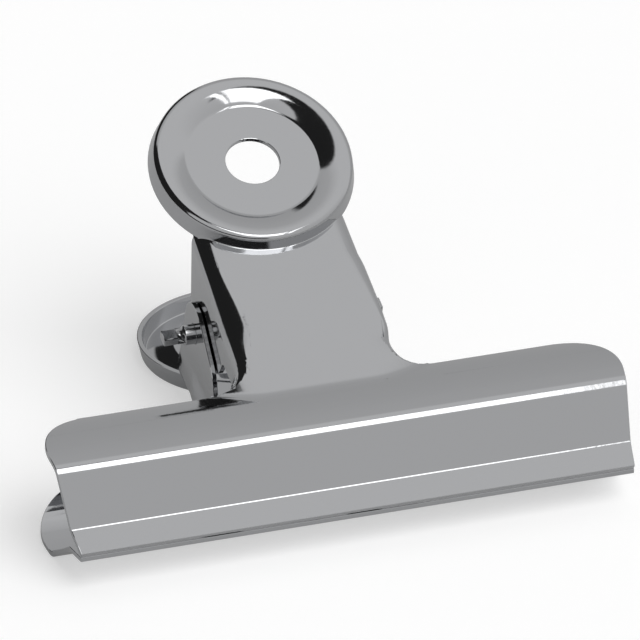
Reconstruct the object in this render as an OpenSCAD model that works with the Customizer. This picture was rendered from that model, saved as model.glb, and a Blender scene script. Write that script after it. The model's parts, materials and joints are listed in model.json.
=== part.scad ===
// Bulldog clip of pressed and plated sheet steel, lying on its back.
// Two stamped plates turn on one pin and a torsion spring pushes their thumb discs apart.
// Each plate is drawn in the clip's own frame: x along the jaw, y from the lips to the discs,
// z from the closing plane towards the front plate. The rear plate is the front one turned over.

/* [Sheet] */
// Thickness of the sheet steel
sheet_t = 0.65; // [0.5:0.05:0.8]
// Space left between the two lips when the clip is shut
lip_gap = 0.1; // [0.05:0.05:0.3]

/* [Jaws] */
// Greatest width of a jaw, near its upper corners
jaw_w = 75; // [65:1:90]
// Width of a jaw at the tip of its lip
lip_w = 71.8; // [64:0.2:74]
// Length of the flat lip
lip_l = 3.5; // [2.5:0.1:5]
// Slope of the lip from the closing plane, in degrees
lip_angle = 18.6; // [12:0.2:25]
// Length of the flat wall behind the lip
wall_l = 6.8; // [5:0.1:8]
// Slope of the wall from the closing plane, in degrees
wall_angle = 47; // [40:1:55]
// Outer radius of the bend at the crest
crest_r = 2.3; // [1.5:0.1:3]
// Slope of the sheet just past the crest, in degrees
crest_angle = 6; // [2:1:12]
// Outer radius of the barrel's rounded top
barrel_r = 17; // [14:0.5:24]
// Slope at the barrel's free edge, in degrees
edge_angle = -26.5; // [-32:0.5:-20]
// Radius of the barrel's upper corners, seen from above
corner_r = 7.2; // [4:0.1:8]

/* [Arms] */
// Width of the front plate's arm over its two ears
arm_w = 20.2; // [18:0.2:24]
// Slope of the arm from the closing plane, in degrees
arm_angle = 12; // [10:0.5:14]
// Distance from the lip tips to the line where the arm leaves the barrel
arm_root = 16; // [14.5:0.1:17]
// Outer radius of the bend between arm and ear
bend_r = 2.2; // [1.2:0.1:2.4]
// Radius of the fillet between arm and barrel edge, seen from above
fillet_r = 3.9; // [2.5:0.1:4.5]
// Distance from the ear's outer face to the line where the arm's foot starts to droop
droop_in = 3.6; // [3:0.1:5]

/* [Ears] */
// Height of the low side wall's edge over the closing plane
wall_up = 3.3; // [2.8:0.1:4]
// Distance from the lip tips to the corner where the side wall drops into the ear
ear_front = 27.2; // [26:0.1:27.6]
// Radius that rounds this corner
ear_front_r = 1.2; // [0.8:0.1:1.5]
// Distance from the lip tips to the knee in the ear's front edge
ear_knee = 28.6; // [28.4:0.1:30]
// Radius that rounds the knee
ear_knee_r = 4; // [2:0.5:4]
// Radius of the ear's lobe round the pin
lobe_r = 4.1; // [3.2:0.1:4.6]
// Distance from the lip tips to the back edge of the ear, at the arm
ear_back = 43; // [42:0.1:44]
// Space between a front ear and the rear ear that covers it
ear_gap = 0.12; // [0.08:0.02:0.3]

/* [Thumb discs] */
// Distance from the lip tips to the middle of the disc
disc_out = 50.4; // [49:0.1:53]
// Height of the disc's flat over the closing plane
disc_up = 15.7; // [15:0.1:17]
// Slope of the disc from the closing plane, in degrees
disc_angle = 14.5; // [12:0.5:17]
// Outer diameter of the disc
disc_d = 26.6; // [24:0.1:28]
// Diameter of the flat in the middle of the disc
flat_d = 16.6; // [14:0.1:17]
// Radius of the corner between the flat and the ridge
hollow_r = 1; // [0.3:0.1:1.5]
// Height of the ridge over the flat
ridge_h = 1.0; // [0.8:0.1:1.4]
// Outer radius of the bend between the ridge and the rim's wall
rim_r = 0.85; // [0.8:0.05:1.3]
// Slope of the rim's wall from the disc's axis, in degrees
rim_flare = 12; // [8:1:20]
// Depth of the rim's free edge below the flat
skirt_h = 1.75; // [1.5:0.05:2.4]
// Diameter of the hanging hole
hole_d = 7; // [4:0.5:10]

/* [Pin] */
// Distance from the lip tips to the pin
pin_out = 37; // [36:0.1:38]
// Diameter of the pin
pin_d = 2.6; // [2:0.1:3]
// Space round the pin in the ears
pin_clearance = 0.05; // [0.02:0.01:0.1]
// Distance by which the pin has slid out of the middle of its ears
pin_slide = 0.5; // [0:0.1:0.6]
// Length of full thickness that shows past each rear ear
shoulder_l = 0.85; // [0.8:0.05:2]
// Length of the taper and neck behind a flattened tip
neck_l = 0.95; // [0.6:0.05:1.5]
// Diameter of the neck
neck_d = 1.1; // [0.8:0.1:1.4]
// Length of a flattened tip
tip_l = 1.9; // [1:0.1:2.5]
// Width of a flattened tip
tip_w = 1.9; // [1.4:0.1:2.4]
// Thickness of a flattened tip
tip_t = 1.1; // [0.8:0.1:1.3]

/* [Spring] */
// Diameter of the spring wire
wire_d = 1.2; // [1:0.05:1.3]
// Space between the pin and the inside of the coil
coil_clearance = 0.7; // [0.5:0.05:0.9]
// Distance from one curl to the next
coil_pitch = 1.75; // [1.7:0.05:1.9]
// Whole curls in the coil, without the part turn between its legs
coil_turns = 7; // [4:1:7]
// Distance from the lip tips to the ends of the legs
leg_out = 46.5; // [45:0.1:47.5]
// Space between a leg and the disc that it pushes
leg_gap = 0.3; // [0.2:0.05:0.5]

/* [Hidden] */
$fn = 96;
overrun = 1;
arc_steps = 12;
steel = [0.72, 0.73, 0.74];
pin_steel = [0.62, 0.63, 0.65];
spring_steel = [0.50, 0.51, 0.53];

// Unit vector at an angle, and the one square to it that points into the clip
function along(angle) = [cos(angle), sin(angle)];
function inward(angle) = [sin(angle), -cos(angle)];

// Profile of the barrel's outer face, from the lip's tip to the free edge
tip = [0, lip_gap / 2 + sheet_t * cos(lip_angle)];
crease = tip + lip_l * along(lip_angle);
wall_end = crease + wall_l * along(wall_angle);
crest_centre = wall_end + crest_r * inward(wall_angle);
crest_end = crest_centre - crest_r * inward(crest_angle);
barrel_centre = crest_end + barrel_r * inward(crest_angle);
edge = barrel_centre - barrel_r * inward(edge_angle);

// Height of a slanted face over the closing plane
function barrel_height(out) = barrel_centre[1] + sqrt(pow(barrel_r, 2) - pow(out - barrel_centre[0], 2));
function arm_height(out) = barrel_height(arm_root) + (out - arm_root) * tan(arm_angle);

// Arm, its ears and the fillets that join it to the barrel's edge
front_half_w = arm_w / 2;
rear_half_w = front_half_w + ear_gap + sheet_t;
arm_reach = (ear_back - arm_root) / cos(arm_angle);
root = [arm_root, barrel_height(arm_root)];
foot_reach = (edge - root) * along(arm_angle) + fillet_r;
gusset_drop = (edge - root) * inward(arm_angle);
gusset_run = droop_in + fillet_r;
gusset_r = (pow(gusset_run, 2) + pow(gusset_drop, 2)) / (2 * gusset_drop);
gusset_turn = asin(gusset_run / gusset_r);
channel_depth = arm_height(ear_back) + lobe_r + overrun;
pivot = [pin_out, 0];
bore_r = pin_d / 2 + pin_clearance;

// Cross-section of the thumb disc: flat, hollow, ridge and rim
disc_r = disc_d / 2;
flat_r = flat_d / 2;
rim_wall_h = ridge_h - rim_r * (1 - sin(rim_flare)) + skirt_h;
ridge_r = disc_r - rim_r * cos(rim_flare) - rim_wall_h * tan(rim_flare);
ridge_run = ridge_r - flat_r;
arcs_r = (pow(ridge_run, 2) + pow(ridge_h, 2)) / (2 * ridge_h);
crown_r = arcs_r - hollow_r;
hollow_turn = asin(ridge_run / arcs_r);
rim_centre = [ridge_r, ridge_h - rim_r];

// The rear plate lies on its crest and on its disc's ridge: the slope of the line under both
ridge_point = [disc_out, disc_up] + rim_centre[0] * along(disc_angle) - rim_centre[1] * inward(disc_angle);
rest_line = ridge_point - crest_centre;
lie_angle = atan2(rest_line[1], rest_line[0]) - asin((crest_r - rim_r) / norm(rest_line));
table_drop = crest_r + crest_centre[1] * cos(lie_angle) - crest_centre[0] * sin(lie_angle);
reach_front = -tip[1] * sin(lie_angle);
disc_lean = disc_angle - lie_angle;
reach_back = disc_out * cos(lie_angle) + disc_up * sin(lie_angle) + disc_r * cos(disc_lean)
    + skirt_h * sin(disc_lean);

// Coil and legs of the spring, as one path
wire_r = wire_d / 2;
coil_r = pin_d / 2 + coil_clearance + wire_r;
leg_up = disc_up + (leg_out - disc_out) * tan(disc_angle) - (sheet_t + leg_gap + wire_r) / cos(disc_angle);
leg_run = [leg_out, leg_up] - pivot;
leg_bearing = atan2(leg_run[1], leg_run[0]) + acos(coil_r / norm(leg_run));
coil_angle = 360 * coil_turns + 360 - 2 * leg_bearing;
rings_per_turn = 8;
tube_sides = 6;
coil_steps = ceil(coil_angle / 360 * rings_per_turn);
coil_l = coil_pitch * coil_angle / 360;
coil_path = [for (i = [0:coil_steps])
    let (bearing = leg_bearing + coil_angle * i / coil_steps)
    [coil_l * (i / coil_steps - 1 / 2), pin_out + coil_r * cos(bearing), coil_r * sin(bearing)]];
spring_path = concat([[-coil_l / 2, leg_out, leg_up]], coil_path, [[coil_l / 2, leg_out, -leg_up]]);
curl_gap = min([for (i = [0:coil_steps - rings_per_turn], j = [i + rings_per_turn / 2:coil_steps])
    norm(coil_path[i] - coil_path[j])]) - wire_d;
echo(least_gap_between_curls = curl_gap);

// Point where a line from a point touches a circle, on the side given by 1 or -1
function touch_point(from, centre, radius, side) =
    let (gap = from - centre)
    centre + radius * along(atan2(gap[1], gap[0]) + side * acos(radius / norm(gap)));

// Points of the arc that rounds the corner b between its neighbours a and c
function rounded_corner(a, b, c, radius, steps = 8) =
    let (
        to_a = (a - b) / norm(a - b),
        to_c = (c - b) / norm(c - b),
        half = acos(to_a * to_c) / 2,
        middle = (to_a + to_c) / norm(to_a + to_c),
        centre = b + middle * radius / sin(half),
        sweep = 90 - half,
        side = sign(cross(to_a, to_c)),
        start = atan2(-middle[1], -middle[0]) + side * sweep
    )
    [for (i = [0:steps]) centre + radius * along(start - side * 2 * sweep * i / steps)];

// Points along an arc, from one bearing to another, with or without its first point
function arc(centre, radius, from, to, first = 0) =
    [for (i = [first:arc_steps]) centre + radius * along(from + (to - from) * i / arc_steps)];
function backwards(list) = [for (i = [len(list) - 1:-1:0]) list[i]];

// Turns a drawing of outward and upward distances into a solid that spans the clip's width
module across(width) {
    rotate([90, 0, 90]) linear_extrude(width, center = true) children();
}

// Line of the barrel's face at a depth inside the sheet: lip, wall, crest and rounded top
function barrel_line(depth) = concat(
    [tip + depth * inward(lip_angle),
        crease + depth * (inward(lip_angle) + inward(wall_angle)) / (1 + inward(lip_angle) * inward(wall_angle))],
    arc(crest_centre, crest_r - depth, 90 + wall_angle, 90 + crest_angle),
    arc(barrel_centre, barrel_r - depth, 90 + crest_angle, 90 + edge_angle, 1));

// Profile of the barrel's sheet
module barrel_profile() {
    polygon(concat(barrel_line(0), backwards(barrel_line(sheet_t))));
}

// Everything under the barrel's inner face
module barrel_inside() {
    inner_line = barrel_line(sheet_t);
    last = inner_line[len(inner_line) - 1];
    polygon(concat(inner_line, [[last[0], -barrel_r], [inner_line[0][0], -barrel_r]]));
}

// Outline of the jaw from above: tapered sides that run into round corners
module jaw_outline() {
    corner_centre = [jaw_w / 2 - corner_r, edge[0] - corner_r];
    lip_corner = [lip_w / 2, -overrun];
    side_point = touch_point(lip_corner, corner_centre, corner_r, 1);
    right_side = [lip_corner, side_point, corner_centre, [corner_centre[0], edge[0] + overrun]];
    left_side = [for (point = backwards(right_side)) [-point[0], point[1]]];
    polygon(concat(right_side, left_side));
    for (side = [-1, 1]) translate([side * corner_centre[0], corner_centre[1]]) circle(corner_r);
}

// Moves from the clip's frame to the arm's: y along the arm's face, z out of it
module on_arm() {
    translate([0, root[0], root[1]]) rotate([arm_angle, 0, 0]) children();
}

// Moves from the clip's frame to the thumb disc's: z along the axis, zero on the flat
module on_disc() {
    translate([0, disc_out, disc_up]) rotate([disc_angle, 0, 0]) children();
}

// Cross-section of the arm's channel, drawn solid and set in by a depth
module channel_section(half_w, depth) {
    for (side = [-1, 1]) translate([side * (half_w - bend_r), -bend_r]) circle(bend_r - depth);
    translate([bend_r - half_w, -channel_depth]) square([2 * (half_w - bend_r), channel_depth - depth]);
    translate([depth - half_w, -channel_depth]) square([2 * (half_w - depth), channel_depth - bend_r]);
}

// The channel as a solid that runs along the arm, set in by a depth and past its ends by a length
module channel(half_w, depth = 0, past = 0) {
    on_arm() translate([0, -past, 0]) rotate([90, 0, 180])
        linear_extrude(arm_reach + 2 * past) channel_section(half_w, depth);
}

// Side view of the low side wall and the ear: a corner, the knee, the lobe and the back edge
module ear_outline() {
    wall_front = edge[0] + fillet_r / 2;
    wall_end_top = [wall_front, arm_height(wall_front) + overrun];
    wall_end_low = [wall_front, wall_up];
    front = [ear_front, wall_up];
    knee = [ear_knee, 0];
    back = [ear_back, arm_height(ear_back)];
    lobe_front = touch_point(knee, pivot, lobe_r, 1);
    lobe_back = touch_point(back, pivot, lobe_r, -1);
    translate(pivot) circle(lobe_r);
    polygon(concat([wall_end_top, wall_end_low],
        rounded_corner(wall_end_low, front, knee, ear_front_r),
        rounded_corner(front, knee, lobe_front, ear_knee_r),
        [lobe_front, pivot, lobe_back, back, back + overrun * along(90)]));
}

// Side view of the arm's face, without ears
module face_outline() {
    polygon([[arm_root, arm_height(arm_root) - 2 * sheet_t],
        [ear_back, arm_height(ear_back) - 2 * sheet_t],
        [ear_back, arm_height(ear_back) + overrun],
        [arm_root, arm_height(arm_root) + overrun]]);
}

// Cross-section of the foot of the arm, where gussets droop in an arc to the barrel's edge
module foot_section(half_w, depth) {
    foot_half = half_w + fillet_r;
    droop = backwards(arc([half_w - droop_in, -gusset_r], gusset_r - depth, 90 - gusset_turn, 90, 1));
    right_side = concat(droop, [[foot_half, -gusset_drop - depth], [foot_half, -channel_depth]]);
    left_side = [for (point = backwards(right_side)) [-point[0], point[1]]];
    polygon(concat(right_side, left_side));
}

// What the bend takes off the foot's upper corner, round the axis of a fillet
module fillet_bend(depth) {
    rotate_extrude() difference() {
        translate([0, -bend_r]) square([fillet_r + bend_r, bend_r + overrun]);
        translate([fillet_r + bend_r, -bend_r]) circle(bend_r - depth);
    }
}

// The foot as a solid, set in by a depth and past its ends by a length: its sides run round the
// fillets as low walls, and the bend between arm and ear follows them
module foot(half_w, depth = 0, past = 0) {
    foot_half = half_w + fillet_r;
    on_arm() difference() {
        translate([0, -past, 0]) rotate([90, 0, 180])
            linear_extrude(foot_reach + 2 * past) foot_section(half_w, depth);
        for (side = [-1, 1]) translate([side * foot_half, foot_reach, 0]) {
            translate([0, 0, -channel_depth - overrun])
                cylinder(r = fillet_r + depth, h = channel_depth + 2 * overrun);
            fillet_bend(depth);
        }
    }
}

// Everything under the low edge of the side walls, which rises to the barrel's edge
module under_walls(half_w) {
    foot_half = half_w + fillet_r;
    edge_low = edge[1] - sheet_t;
    translate([0, ear_back, 0]) rotate([90, 0, 0]) linear_extrude(ear_back)
        polygon([[-foot_half - overrun, -channel_depth], [-foot_half - overrun, edge_low],
            [-foot_half, edge_low], [-half_w, wall_up], [half_w, wall_up], [foot_half, edge_low],
            [foot_half + overrun, edge_low], [foot_half + overrun, -channel_depth]]);
}

// Barrel with its lip, opened under the foot of the arm
module jaw(half_w) {
    difference() {
        intersection() {
            across(jaw_w) barrel_profile();
            linear_extrude(crest_centre[1] + crest_r + overrun) jaw_outline();
        }
        foot(half_w, sheet_t, overrun);
    }
}

// Foot of the arm with its gussets and the low walls round the fillets
module arm_foot(half_w) {
    difference() {
        foot(half_w);
        foot(half_w, sheet_t, overrun);
        under_walls(half_w);
        across(jaw_w) barrel_inside();
    }
}

// Arm with its face and two ears, open where the thumb disc sits
module arm(half_w) {
    difference() {
        intersection() {
            channel(half_w);
            across(jaw_w) union() {
                ear_outline();
                face_outline();
            }
        }
        channel(half_w, sheet_t, overrun);
        across(jaw_w) barrel_inside();
        on_disc() translate([0, 0, -skirt_h - bend_r]) cylinder(r = disc_r - sheet_t, h = disc_up);
    }
}

// Line of the thumb disc's face at a depth inside the sheet, from the hanging hole to the free edge
function disc_line(depth) = concat(
    [[hole_d / 2, -depth]],
    arc([flat_r, hollow_r], hollow_r + depth, -90, hollow_turn - 90),
    arc([ridge_r, ridge_h - crown_r], crown_r - depth, 90 + hollow_turn, 90, 1),
    arc(rim_centre, rim_r - depth, 90, rim_flare, 1),
    [[disc_r - depth / cos(rim_flare), -skirt_h]]);

// Half section of the thumb disc
module disc_section() {
    polygon(concat(disc_line(0), backwards(disc_line(sheet_t))));
}

module thumb_disc() {
    on_disc() rotate_extrude() disc_section();
}

// One stamped plate, in the clip's frame
module plate(half_w) {
    difference() {
        union() {
            jaw(half_w);
            arm_foot(half_w);
            arm(half_w);
            thumb_disc();
        }
        translate([0, pin_out, 0]) rotate([0, 90, 0]) cylinder(r = bore_r, h = jaw_w, center = true);
    }
}

// Lays the clip on its back with the middle of its footprint at the origin
module lie_down() {
    translate([0, -(reach_front + reach_back) / 2, table_drop]) rotate([lie_angle, 0, 0]) children();
}

// Stamped front plate, whose ears fit inside the rear plate's
module front_plate() {
    color(steel) lie_down() plate(front_half_w);
}

// Stamped rear plate, turned over and wider over its ears
module rear_plate() {
    color(steel) lie_down() rotate([0, 180, 0]) plate(rear_half_w);
}

// Pin with flattened tips that keep it in the ears
module pivot_pin() {
    shaft_half = rear_half_w + shoulder_l;
    taper_l = neck_l / 2;
    color(pin_steel) lie_down() translate([-pin_slide, pin_out, 0]) {
        rotate([0, 90, 0]) cylinder(d = pin_d, h = 2 * shaft_half, center = true);
        for (side = [-1, 1]) rotate([0, side * 90, 0]) translate([0, 0, shaft_half]) {
            cylinder(d1 = pin_d, d2 = neck_d, h = taper_l);
            cylinder(d = neck_d, h = neck_l + tip_l / 2);
            translate([-tip_t / 2, -tip_w / 2, neck_l]) cube([tip_t, tip_w, tip_l]);
        }
    }
}

// Round wire swept along a path, as one closed tube
module wire(path) {
    last = len(path) - 1;
    points = [for (i = [0:last])
        let (
            ahead = path[min(i + 1, last)] - path[max(i - 1, 0)],
            run = ahead / norm(ahead),
            across_run = [1, 0, 0] - run[0] * run,
            u = across_run / norm(across_run),
            v = cross(run, u)
        )
        for (k = [0:tube_sides - 1])
            path[i] + wire_r * (cos(360 * k / tube_sides) * u + sin(360 * k / tube_sides) * v)];
    sides = [for (i = [0:last - 1], k = [0:tube_sides - 1])
        let (
            next = (k + 1) % tube_sides,
            a = i * tube_sides + k,
            b = i * tube_sides + next,
            c = b + tube_sides,
            d = a + tube_sides
        )
        each [[a, d, c], [a, c, b]]];
    caps = [for (k = [1:tube_sides - 2])
        each [[0, k, k + 1], [last * tube_sides, last * tube_sides + k + 1, last * tube_sides + k]]];
    polyhedron(points, concat(sides, caps));
}

// Torsion spring round the pin, with one leg under each thumb disc
module torsion_spring() {
    color(spring_steel) lie_down() wire(spring_path);
}

front_plate();
rear_plate();
pivot_pin();
torsion_spring();
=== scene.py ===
import json
from math import atan2, cos, pi, radians, sin, sqrt, tan, tau

import bmesh
import bpy
from mathutils import Matrix, Vector
from mathutils.bvhtree import BVHTree

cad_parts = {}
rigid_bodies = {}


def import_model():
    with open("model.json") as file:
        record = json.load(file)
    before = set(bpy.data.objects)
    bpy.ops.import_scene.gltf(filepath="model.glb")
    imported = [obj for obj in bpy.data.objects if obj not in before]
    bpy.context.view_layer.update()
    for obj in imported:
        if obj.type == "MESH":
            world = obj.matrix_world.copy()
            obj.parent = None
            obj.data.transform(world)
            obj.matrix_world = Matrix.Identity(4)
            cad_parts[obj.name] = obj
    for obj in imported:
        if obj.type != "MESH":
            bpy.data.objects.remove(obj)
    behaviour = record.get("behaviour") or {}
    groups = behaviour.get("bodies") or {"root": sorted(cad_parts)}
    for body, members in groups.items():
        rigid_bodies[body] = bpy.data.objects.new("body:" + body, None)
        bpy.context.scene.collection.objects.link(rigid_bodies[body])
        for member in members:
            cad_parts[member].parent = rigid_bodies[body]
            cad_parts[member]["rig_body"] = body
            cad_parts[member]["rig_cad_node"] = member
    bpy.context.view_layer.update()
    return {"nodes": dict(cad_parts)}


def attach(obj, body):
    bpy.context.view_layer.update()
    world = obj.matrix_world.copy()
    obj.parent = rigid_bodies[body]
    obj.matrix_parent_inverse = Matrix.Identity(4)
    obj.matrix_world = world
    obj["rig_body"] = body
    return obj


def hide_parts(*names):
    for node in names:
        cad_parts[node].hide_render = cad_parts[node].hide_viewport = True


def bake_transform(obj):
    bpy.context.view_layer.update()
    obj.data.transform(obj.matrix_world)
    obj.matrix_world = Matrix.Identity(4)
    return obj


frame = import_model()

MM = 0.001
ALONG_X, ALONG_Y, ALONG_Z = Vector((1, 0, 0)), Vector((0, 1, 0)), Vector((0, 0, 1))

# The clip's own frame: x along the jaws, y from the lips to the discs, z from the closing plane
# to the front plate. It lies on its back, so this frame is tipped and lowered onto the table.
ONTO_TABLE = Vector((0, -32.9172, 5.16895)) * MM
LIE = Matrix.Translation(ONTO_TABLE) @ Matrix.Rotation(radians(13.0938), 4, "X")

# The solids' measures, in millimetres
SHEET = 0.65
LIP_FOLD = 3.3
BARREL_CENTRE = (11.1735, -9.4325)
BARREL_R = 17.0
ARM_ROOT = 16.0
ARM_ANGLE = radians(12)
DROOP_IN = 3.6
GUSSET_R = 18.0
BEND_R = 2.2
FRONT_HALF_W = 10.1
REAR_HALF_W = 10.87
PIN_OUT = 37.0
WIRE_R = 0.6

# What is formed beyond the solids, in millimetres
LIP_ROUND = 0.12
SHEET_ROUND = 0.1
PIN_ROUND = 0.12
ROOT_ROUND = 0.5
WIDER_BEND = 0.9
TIGHTER_BEND = 1.1
SIDE_SPREAD = 0.5

# Where along y the arm's foot and its bends are formed, how far out the foot reaches in x, and how
# near the facets' points lie to the true curves
FOOT_START, FOOT_END = 14.5, 22.2
BEND_START, BEND_END = 22.4, 36.6
FOOT_HALF_W = 14.6
NEAR_FOOT, NEAR_BEND, NEAR_SHEET = 0.08, 0.03, 0.01

WHITE = "#FFFFFF"
PLATE_GREY = "#C3C4C6"
WIRE_GREY = "#A9AAAC"

# The tent's light levels: its greys by where they lean, from the front (0) over the top to the back
# (1), the softbox and the seam in it, and the flags. A limit of FAR leaves that side open.
TENT_GREYS = ((0.0, 0.6), (0.07, 0.6), (0.45, 0.71), (0.59, 0.71), (0.7, 0.56), (1.0, 0.48))
SOFTBOX, SEAM = 2.6, 0.4
BLACK, NEAR_BLACK = 0.02, 0.03
FAR = 3


# Small helpers

def linear(code):
    """sRGB hex to the linear colour that the shaders take."""
    parts = [int(code[i:i + 2], 16) / 255 for i in (1, 3, 5)]
    return [p / 12.92 if p <= 0.04045 else ((p + 0.055) / 1.055) ** 2.4 for p in parts] + [1]


def node(tree, kind, inputs=(), **settings):
    """Adds one node. An input is a value, or another node's output to link from."""
    made = tree.nodes.new(kind)
    for name, value in settings.items():
        setattr(made, name, value)
    for name, value in dict(inputs).items():
        if isinstance(value, bpy.types.NodeSocket):
            tree.links.new(value, made.inputs[name])
        else:
            made.inputs[name].default_value = value
    return made


def both_of(tree, one, two):
    return node(tree, "ShaderNodeMath", {0: one, 1: two}, operation="MULTIPLY").outputs["Value"]


def blend_of(tree, mask, outside, inside):
    """One value outside a mask, another inside it. Sockets 2 and 3 are the node's two floats."""
    made = node(tree, "ShaderNodeMix", {"Factor": mask, 2: outside, 3: inside}, data_type="FLOAT")
    return made.outputs[0]


def blank_material(name):
    material = bpy.data.materials.new(name)
    material.use_nodes = True
    material.node_tree.nodes.clear()
    return material, material.node_tree


def finish_material(tree, shader):
    node(tree, "ShaderNodeOutputMaterial", {"Surface": shader})


def wear(material, piece):
    """Gives a piece its one material."""
    piece.data.materials.clear()
    piece.data.materials.append(material)


def finish_piece(piece, body, cad_name):
    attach(piece, body)
    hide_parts(cad_name)


def steps(first, last, step):
    return [first + step * i for i in range(round((last - first) / step) + 1)]


def ease(value, low, high):
    share = min(max((value - low) / (high - low), 0), 1)
    return share * share * (3 - 2 * share)


# Materials

def chrome_plate(name, colour, roughness, haze_spread):
    """Chromium plate over pressed steel: a cool bright mirror that the press left faintly wavy, with
    a fine dimple. Cloudy patches of slightly wider reflections stand for its handling marks."""
    material, tree = blank_material(name)
    place = node(tree, "ShaderNodeTexCoord").outputs["Object"]
    haze = node(tree, "ShaderNodeTexNoise", {"Vector": place, "Scale": 260, "Detail": 3})
    spread = node(tree, "ShaderNodeMapRange",
                  {"Value": haze.outputs["Fac"], "From Min": 0.35, "From Max": 0.7,
                   "To Min": roughness, "To Max": roughness + haze_spread})
    ripple = node(tree, "ShaderNodeTexNoise", {"Vector": place, "Scale": 60, "Detail": 2})
    wave = node(tree, "ShaderNodeBump",
                {"Height": ripple.outputs["Fac"], "Strength": 0.1, "Distance": 0.0002})
    peel = node(tree, "ShaderNodeTexNoise", {"Vector": place, "Scale": 1100, "Detail": 2})
    dimple = node(tree, "ShaderNodeBump",
                  {"Height": peel.outputs["Fac"], "Strength": 0.1, "Distance": 0.00004,
                   "Normal": wave.outputs["Normal"]})
    shader = node(tree, "ShaderNodeBsdfPrincipled",
                  {"Base Color": linear(colour), "Metallic": 1,
                   "Roughness": spread.outputs["Result"], "Normal": dimple.outputs["Normal"]})
    finish_material(tree, shader.outputs["BSDF"])
    return material


plate_finish = chrome_plate("chrome_plated_sheet", PLATE_GREY, 0.06, 0.04)
pin_finish = chrome_plate("chrome_plated_pin", PLATE_GREY, 0.1, 0.06)
wire_finish = chrome_plate("drawn_spring_wire", WIRE_GREY, 0.2, 0.1)


# Pressed sheet and pin

def solid_copy(name, cad_name):
    """A merged copy of a rigid solid whose flat faces are whole again, and its bmesh to work on."""
    piece = frame["nodes"][cad_name].copy()
    piece.data = piece.data.copy()
    piece.name = name
    piece.parent = None
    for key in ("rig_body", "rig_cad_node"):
        if key in piece:
            del piece[key]
    bpy.context.scene.collection.objects.link(piece)
    shape = bmesh.new()
    shape.from_mesh(piece.data)
    bmesh.ops.remove_doubles(shape, verts=shape.verts, dist=0.002 * MM)
    bmesh.ops.dissolve_limit(shape, angle_limit=radians(0.4), verts=shape.verts, edges=shape.edges)
    return piece, shape


def round_edges(shape, edges, radius, segments):
    bmesh.ops.bevel(shape, geom=edges, offset=radius, segments=segments, profile=0.5, material=-1,
                    affect="EDGES", clamp_overlap=False)


def soften(piece, shape, edge_round):
    """Rounds the sharp edges a little, shades the bends smoothly and ends the work on the bmesh.
    Faces with many corners are split first, so that none is filled across an opening. Points that
    a rounding throws further off the sheet than its own radius, at short edges, are put back."""
    bmesh.ops.triangulate(shape, faces=[face for face in shape.faces if len(face.verts) > 4])
    surface = BVHTree.FromBMesh(shape)
    crisp = [edge for edge in shape.edges
             if len(edge.link_faces) == 2 and edge.calc_face_angle() > radians(40)]
    round_edges(shape, crisp, edge_round, 2)
    for vert in shape.verts:
        place, _, _, gap = surface.find_nearest(vert.co)
        if gap > edge_round:
            vert.co = place
    for edge in shape.edges:
        edge.smooth = len(edge.link_faces) == 2 and edge.calc_face_angle() < radians(20)
    for face in shape.faces:
        face.smooth = True
    shape.to_mesh(piece.data)
    shape.free()
    flow = piece.modifiers.new("even_shading", "WEIGHTED_NORMAL")
    flow.keep_sharp = True
    flow.weight = 60


def cut_across(shape, axis, places, low, high):
    """Cuts the faces that reach into a box at right angles to an axis, so that they can be formed."""
    near = [face for face in shape.faces
            if all(min(v.co[k] for v in face.verts) < high[k] * MM
                   and max(v.co[k] for v in face.verts) > low[k] * MM for k in range(3))]
    geom = near + list({edge for face in near for edge in face.edges}) \
        + list({vert for face in near for vert in face.verts})
    for place in places:
        geom = bmesh.ops.bisect_plane(shape, geom=geom, dist=0.0005 * MM, plane_co=axis * place * MM,
                                      plane_no=axis)["geom"]


def lip_fold_edges(shape):
    """The long edges along the fold between the flat lip and the jaw's rising wall."""
    return [edge for edge in shape.edges
            if edge.calc_face_angle(0) > radians(15)
            and all(abs(vert.co.y - LIP_FOLD * MM) < 0.6 * MM for vert in edge.verts)
            and abs(edge.verts[0].co.x - edge.verts[1].co.x) > 10 * MM]


def cut_plate(shape, half_w):
    """Cuts the sheet finely where form_plate moves it: the foot of the arm, the bends at its sides,
    the roots of the ears, and the arm's shoulders, over which the foot's droop runs out."""
    foot_low, foot_high = (-FOOT_HALF_W, FOOT_START, 3), (FOOT_HALF_W, FOOT_END, 9)
    cut_across(shape, ALONG_Y, steps(14.6, 22.2, 0.2), foot_low, foot_high)
    cut_across(shape, ALONG_X, steps(-15, 15, 0.5), foot_low, (FOOT_HALF_W, 22.1, 9))
    bends_low, bends_high = (-half_w - 1, BEND_START, 0), (half_w + 1, 37, 13)
    cut_across(shape, ALONG_Y, steps(22.5, 36.5, 0.5), bends_low, bends_high)
    roots_low, roots_high = (half_w - 1, 17, 4.8), (half_w + 4.5, 39, 8.2)
    cut_across(shape, ALONG_Z, steps(5, 8, 0.5), roots_low, roots_high)
    droop_start = half_w - DROOP_IN
    for low, high in ((-half_w + BEND_R, -droop_start), (droop_start, half_w - BEND_R)):
        cut_across(shape, ALONG_X, steps(low, high, 0.35), (low, 22.3, 5), (high, 28.2, 13))


def barrel_height(out):
    return BARREL_CENTRE[1] + sqrt(BARREL_R ** 2 - (out - BARREL_CENTRE[0]) ** 2)


def foot_droop(x, half_w):
    """How far the foot of the arm curves down towards its fillets."""
    run = min(max(abs(x) - (half_w - DROOP_IN), 0), GUSSET_R)
    return GUSSET_R - sqrt(GUSSET_R ** 2 - run ** 2)


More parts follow.
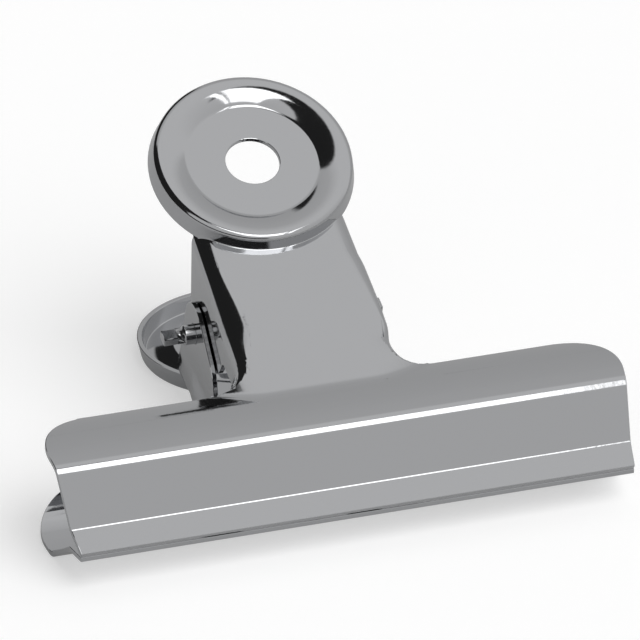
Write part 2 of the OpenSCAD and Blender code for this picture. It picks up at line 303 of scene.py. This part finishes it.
def soften_root(point, half_w):
    """Lifts the sheet's outer side into the corner between barrel and arm, which the press leaves
    round. Points near the true surface are put on it first."""
    x, out, up = point
    barrel = barrel_height(out)
    arm = barrel_height(ARM_ROOT) + (out - ARM_ROOT) * tan(ARM_ANGLE) - foot_droop(x, half_w)
    surface = max(barrel, arm)
    if up < surface - 1:
        return point
    if abs(up - surface) < NEAR_FOOT:
        up = surface
    near = max(ROOT_ROUND - abs(barrel - arm), 0) / ROOT_ROUND
    return Vector((x, out, up + near * near * ROOT_ROUND / 4))


def widen_bend(point, half_w, out):
    """The left bend between arm and ear opens towards the jaw, and the right one is pressed tighter.
    The outer side keeps the foot's droop for a stretch, so that it doesn't end in a step. The point
    is in the arm's frame, and out is its distance from the lips in the clip's."""
    if point.x < 0:
        radius = BEND_R + WIDER_BEND * ease(out, BEND_START, 27) * (1 - ease(out, 27, 36))
    else:
        radius = BEND_R - TIGHTER_BEND * ease(out, BEND_START, 25) * (1 - ease(out, 27, 37))
    across, up = abs(point.x) - half_w + BEND_R, point.z + BEND_R
    reach = sqrt(across ** 2 + up ** 2)
    x, z = abs(point.x), point.z
    if across > -NEAR_BEND and up > -NEAR_BEND and reach > BEND_R - SHEET - NEAR_SHEET:
        depth, turn = BEND_R - reach, atan2(across, up)
        x = half_w - radius + (radius - depth) * sin(turn)
        z = (radius - depth) * cos(turn) - radius
    if point.z > -SHEET / 2:
        z = min(z, -foot_droop(x, half_w) * (1 - ease(out, BEND_START, 28)))
    return Vector((x if point.x > 0 else -x, point.y, z))


def spread_side(point):
    """The arm's right side stands out a little, down to the root of its ear."""
    x, out, up = point
    share = ease(x, 4, 9.5) * ease(up, 5, 8) * ease(out, 17, 21) * (1 - ease(out, 34, 39))
    return Vector((x + SIDE_SPREAD * share, out, up))


def form_plate(shape, half_w):
    """Moves the cut sheet to the shape that the press gave it."""
    arm_place = Matrix.Translation((0, ARM_ROOT, barrel_height(ARM_ROOT)))
    arm_frame = arm_place @ Matrix.Rotation(ARM_ANGLE, 4, "X")
    to_arm = arm_frame.inverted()
    for vert in shape.verts:
        point = vert.co / MM
        if FOOT_START < point.y < FOOT_END and abs(point.x) < FOOT_HALF_W + 0.5:
            vert.co = soften_root(point, half_w) * MM
        elif FOOT_END <= point.y < BEND_END and abs(point.x) < half_w + NEAR_SHEET:
            vert.co = arm_frame @ widen_bend(to_arm @ point, half_w, point.y) * MM
        vert.co = spread_side(vert.co / MM) * MM


def plate(name, cad_name, turn_over, half_w):
    """One stamping, formed in its own frame. The rear one is the same stamping turned over."""
    piece, shape = solid_copy(name, cad_name)
    turned = LIE @ Matrix.Rotation(turn_over, 4, "Y")
    bmesh.ops.transform(shape, matrix=turned.inverted(), verts=shape.verts)
    round_edges(shape, lip_fold_edges(shape), LIP_ROUND * MM, 3)
    cut_plate(shape, half_w)
    form_plate(shape, half_w)
    bmesh.ops.transform(shape, matrix=turned, verts=shape.verts)
    soften(piece, shape, SHEET_ROUND * MM)
    wear(plate_finish, piece)
    return piece


front = plate("front_plate_form", "front_plate", 0, FRONT_HALF_W)
finish_piece(front, "front", "front_plate")
rear = plate("rear_plate_form", "rear_plate", pi, REAR_HALF_W)
finish_piece(rear, "rear", "rear_plate")
pin, pin_shape = solid_copy("pivot_pin_form", "pivot_pin")
soften(pin, pin_shape, PIN_ROUND * MM)
wear(pin_finish, pin)
finish_piece(pin, "rear", "pivot_pin")


# Spring

def spring_points():
    """The wire's path: a straight leg, the coil round the pin and a second leg."""
    coil_r, coil_l = 2.6, 12.69
    leg_out, leg_up = 46.5, 13.09
    first_angle, coil_steps, leg_steps = 134.78, 190, 9
    sweep = 360 * 8 - 2 * first_angle
    coil = []
    for i in range(coil_steps + 1):
        angle = radians(first_angle + sweep * i / coil_steps)
        coil.append(Vector((coil_l * (i / coil_steps - 0.5),
                            PIN_OUT + coil_r * cos(angle), coil_r * sin(angle))))
    lead = Vector((-coil_l / 2, leg_out, leg_up))
    first = [lead.lerp(coil[0], i / leg_steps) for i in range(leg_steps)]
    tail = Vector((coil_l / 2, leg_out, -leg_up))
    last = [coil[-1].lerp(tail, i / leg_steps) for i in range(1, leg_steps + 1)]
    return [LIE @ (point * MM) for point in first + coil + last]


def tube(name, path, radius, sides=14):
    """Round wire along a path: each ring is turned on from the one before, so it doesn't twist."""
    shape = bmesh.new()
    rings = []
    side = ALONG_X
    for i, point in enumerate(path):
        run = (path[min(i + 1, len(path) - 1)] - path[max(i - 1, 0)]).normalized()
        side = (side - run * side.dot(run)).normalized()
        other = run.cross(side)
        spokes = [side * cos(tau * k / sides) + other * sin(tau * k / sides) for k in range(sides)]
        rings.append([shape.verts.new(point + radius * spoke) for spoke in spokes])
    for one, two in zip(rings, rings[1:]):
        for k in range(sides):
            shape.faces.new((one[k], one[(k + 1) % sides], two[(k + 1) % sides], two[k]))
    shape.faces.new(list(reversed(rings[0])))
    shape.faces.new(rings[-1])
    bmesh.ops.recalc_face_normals(shape, faces=shape.faces)
    for face in shape.faces:
        face.smooth = len(face.verts) == 4
    mesh = bpy.data.meshes.new(name)
    shape.to_mesh(mesh)
    shape.free()
    piece = bpy.data.objects.new(name, mesh)
    bpy.context.scene.collection.objects.link(piece)
    return piece


wire_path = spring_points()
spring = tube("torsion_spring_form", wire_path, WIRE_R * MM)
wear(wire_finish, spring)
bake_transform(spring)
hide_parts("torsion_spring")


# Studio

def floor_paper():
    """Matt paper with a faint glow of its own. The camera sees it near full white, with the shadow
    kept, while the mirror plate and the bounced light meet a greyer sheet."""
    material, tree = blank_material("white_paper")
    seen = node(tree, "ShaderNodeLightPath").outputs["Is Camera Ray"]
    grey = blend_of(tree, seen, 0.35, 0.55)
    matt = node(tree, "ShaderNodeBsdfDiffuse", {"Color": grey})
    lift = blend_of(tree, seen, 0.15, 0.51)
    glow = node(tree, "ShaderNodeEmission", {"Color": linear(WHITE), "Strength": lift})
    both = node(tree, "ShaderNodeAddShader", {0: matt.outputs["BSDF"], 1: glow.outputs["Emission"]})
    finish_material(tree, both.outputs["Shader"])
    return material


def make_floor():
    shape = bmesh.new()
    bmesh.ops.create_grid(shape, x_segments=1, y_segments=1, size=3)
    mesh = bpy.data.meshes.new("paper_floor")
    shape.to_mesh(mesh)
    shape.free()
    floor = bpy.data.objects.new("paper_floor", mesh)
    bpy.context.scene.collection.objects.link(floor)
    wear(floor_paper(), floor)


def band(tree, value, low, high, soft):
    """One between two limits and zero outside, with soft ends."""
    rise = node(tree, "ShaderNodeMapRange",
                {"Value": value, "From Min": low - soft, "From Max": low + soft})
    fall = node(tree, "ShaderNodeMapRange",
                {"Value": value, "From Min": high - soft, "From Max": high + soft,
                 "To Min": 1.0, "To Max": 0.0})
    return both_of(tree, rise.outputs["Result"], fall.outputs["Result"])


def patch(tree, one, two, three):
    """One where all three values lie inside their bands, and zero elsewhere."""
    return both_of(tree, band(tree, *one), both_of(tree, band(tree, *two), band(tree, *three)))


def lean_along_y(tree, ray):
    """The y part of a direction once its part along the jaws is taken out."""
    flat = node(tree, "ShaderNodeVectorMath", {0: ray, 1: (0, 1, 1)}, operation="MULTIPLY")
    lean = node(tree, "ShaderNodeVectorMath", {0: flat.outputs["Vector"]}, operation="NORMALIZE")
    return node(tree, "ShaderNodeSeparateXYZ", {"Vector": lean.outputs["Vector"]}).outputs["Y"]


def tent_grey(tree, lean_y):
    share = node(tree, "ShaderNodeMapRange", {"Value": lean_y, "From Min": -1, "From Max": 1})
    grey = node(tree, "ShaderNodeValToRGB", {"Fac": share.outputs["Result"]})
    stops = grey.color_ramp.elements
    for place, _ in TENT_GREYS[1:-1]:
        stops.new(place)
    for stop, (_, level) in zip(stops, TENT_GREYS):
        stop.color = (level, level, level, 1)
    return grey.outputs["Color"]


def studio_walls():
    """A grey tent round the clip, lightest overhead, given by direction. A black flag at the left
    draws the dark bands in the bends, and two more stand low, behind and in front. A long softbox
    over the front, with a dim seam near its right end, draws the bright line on the crest. The
    camera itself sees plain white."""
    world = bpy.data.worlds.new("studio_tent")
    bpy.context.scene.world = world
    world.use_nodes = True
    tree = world.node_tree
    tree.nodes.clear()
    ray = node(tree, "ShaderNodeTexCoord").outputs["Generated"]
    split = node(tree, "ShaderNodeSeparateXYZ", {"Vector": ray})
    x, y, z = (split.outputs[axis] for axis in "XYZ")
    slant = node(tree, "ShaderNodeMath", {0: x, 1: y}, operation="ADD").outputs["Value"]
    lean_y = lean_along_y(tree, ray)
    flags = (
        (BLACK, (slant, -FAR, 0.03, 0.03), (z, 0.05, FAR, 0.03), (y, -0.4, FAR, 0.02)),
        (BLACK, (z, 0.03, 0.72, 0.02), (x, -FAR, 0.08, 0.03), (y, 0.3, FAR, 0.05)),
        (NEAR_BLACK, (z, 0.02, 0.3, 0.02), (x, -FAR, 0.1, 0.03), (y, -FAR, -0.3, 0.05)),
    )
    walls = tent_grey(tree, lean_y)
    for level, *limits in flags:
        walls = blend_of(tree, patch(tree, *limits), walls, level)
    bank = patch(tree, (lean_y, -0.72, -0.25, 0.02), (z, 0, FAR, 0.02), (x, -0.05, 0.36, 0.01))
    lamp = blend_of(tree, band(tree, x, 0.29, 0.32, 0.005), SOFTBOX, SEAM)
    lit = blend_of(tree, bank, walls, lamp)
    path = node(tree, "ShaderNodeLightPath")
    seen = blend_of(tree, path.outputs["Is Camera Ray"], lit, 1.0)
    room = node(tree, "ShaderNodeBackground", {"Color": linear(WHITE), "Strength": seen})
    node(tree, "ShaderNodeOutputWorld", {"Surface": room.outputs["Background"]})


def shadow_lamp():
    """A wide soft lamp from the front right, which throws the shadow to the left and behind. The
    plate doesn't mirror it, because the softbox in the tent's wall stands for its reflection."""
    data = bpy.data.lights.new("shadow_lamp", "SUN")
    data.energy = 1.5
    data.angle = radians(50)
    lamp = bpy.data.objects.new("shadow_lamp", data)
    lamp.rotation_euler = Vector((0.35, -0.6, 0.75)).to_track_quat("Z", "Y").to_euler()
    lamp.visible_glossy = False
    bpy.context.scene.collection.objects.link(lamp)


def photo_camera():
    """A long lens at the photograph's place: 17 degrees to the left, 28.8 degrees up."""
    data = bpy.data.cameras.new("photo_camera")
    data.sensor_width = 36
    data.lens = 450
    data.clip_start, data.clip_end = 0.05, 20
    camera = bpy.data.objects.new("photo_camera", data)
    place = Vector((-255.5618, -853.0581, 505.7588)) * MM
    right = Vector((0.95538, -0.29532, -0.00614))
    up = Vector((0.14761, 0.45932, 0.87592))
    turn = Matrix((right, up, right.cross(up))).transposed().to_4x4()
    camera.matrix_world = Matrix.Translation(place) @ turn
    bpy.context.scene.collection.objects.link(camera)
    bpy.context.scene.camera = camera


make_floor()
studio_walls()
shadow_lamp()
photo_camera()
bpy.context.scene.view_settings.view_transform = "Standard"
